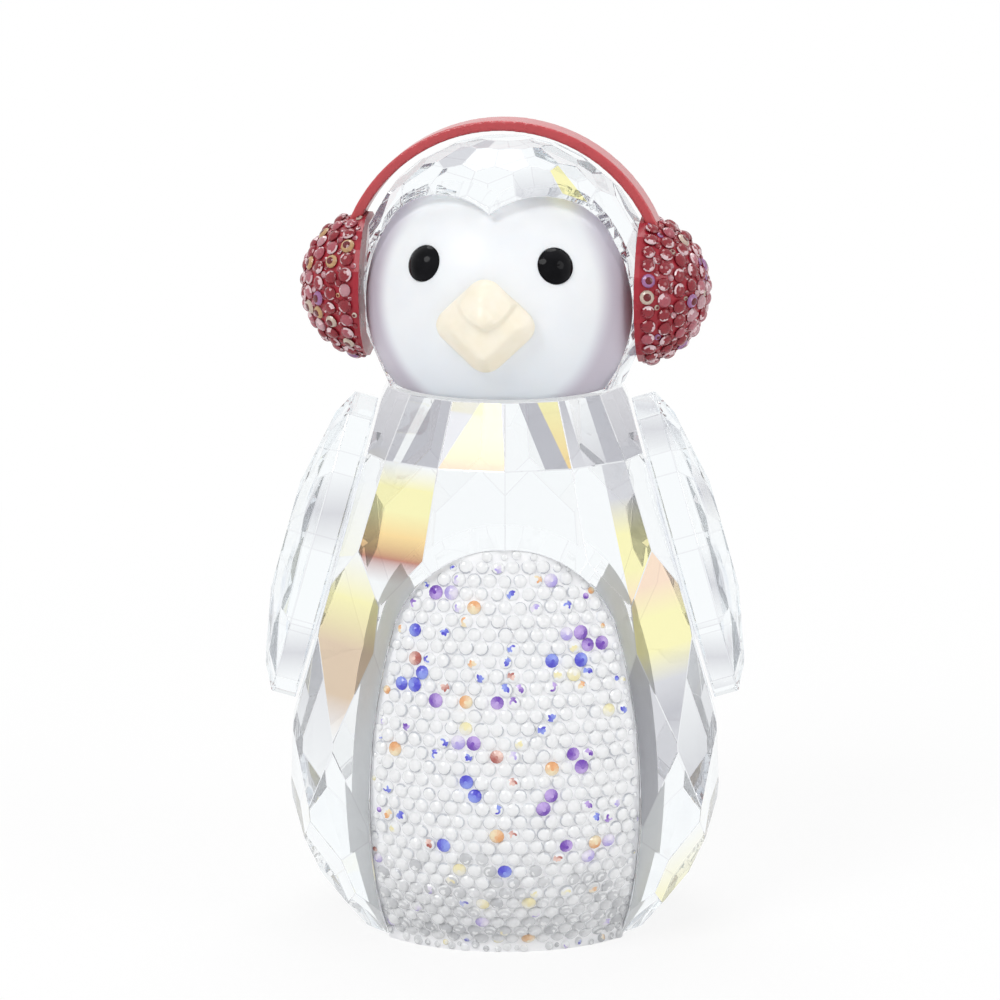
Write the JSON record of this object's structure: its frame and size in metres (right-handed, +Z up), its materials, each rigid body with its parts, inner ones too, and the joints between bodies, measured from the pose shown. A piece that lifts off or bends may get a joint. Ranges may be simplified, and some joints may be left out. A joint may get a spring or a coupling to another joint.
{
  "type": "crystal penguin ornament",
  "caption": "Faceted clear crystal penguin ornament with a satin face, a stone-set belly and red stone-set earmuffs on a headband; stands on its flat base",
  "frame": {"origin": "Centre of the flat base, on the resting plane, on the axis of the body", "axes": "+Z up from the base to the headband; the penguin looks along -Y; +X is the penguin's own left"},
  "size_m": [0.0346, 0.0311, 0.058],
  "materials": {
    "crystal": "polished facets",
    "pale_resin": "matte",
    "clear_stone": "polished facets",
    "satin_glass": "satin",
    "black_glass": "gloss",
    "cream_opal": "satin",
    "red_lacquer": "satin lacquer",
    "red_resin": "gloss",
    "rose_stone": "polished facets",
    "clear_bond": "clear"
  },
  "bodies": {
    "root": {"body_crystal": "crystal", "belly_pad": "pale_resin", "belly_stones": "clear_stone", "head_crystal": "crystal", "face_plate": "satin_glass", "left_eye": "black_glass", "right_eye": "black_glass", "beak": "cream_opal", "left_wing": "crystal", "right_wing": "crystal", "headband": "red_lacquer", "left_muff": "red_resin", "right_muff": "red_resin", "left_muff_stones": "rose_stone", "right_muff_stones": "rose_stone", "neck_bond": "clear_bond", "left_wing_bond": "clear_bond", "right_wing_bond": "clear_bond", "left_muff_bond": "clear_bond", "right_muff_bond": "clear_bond"}
  },
  "joints": []
}
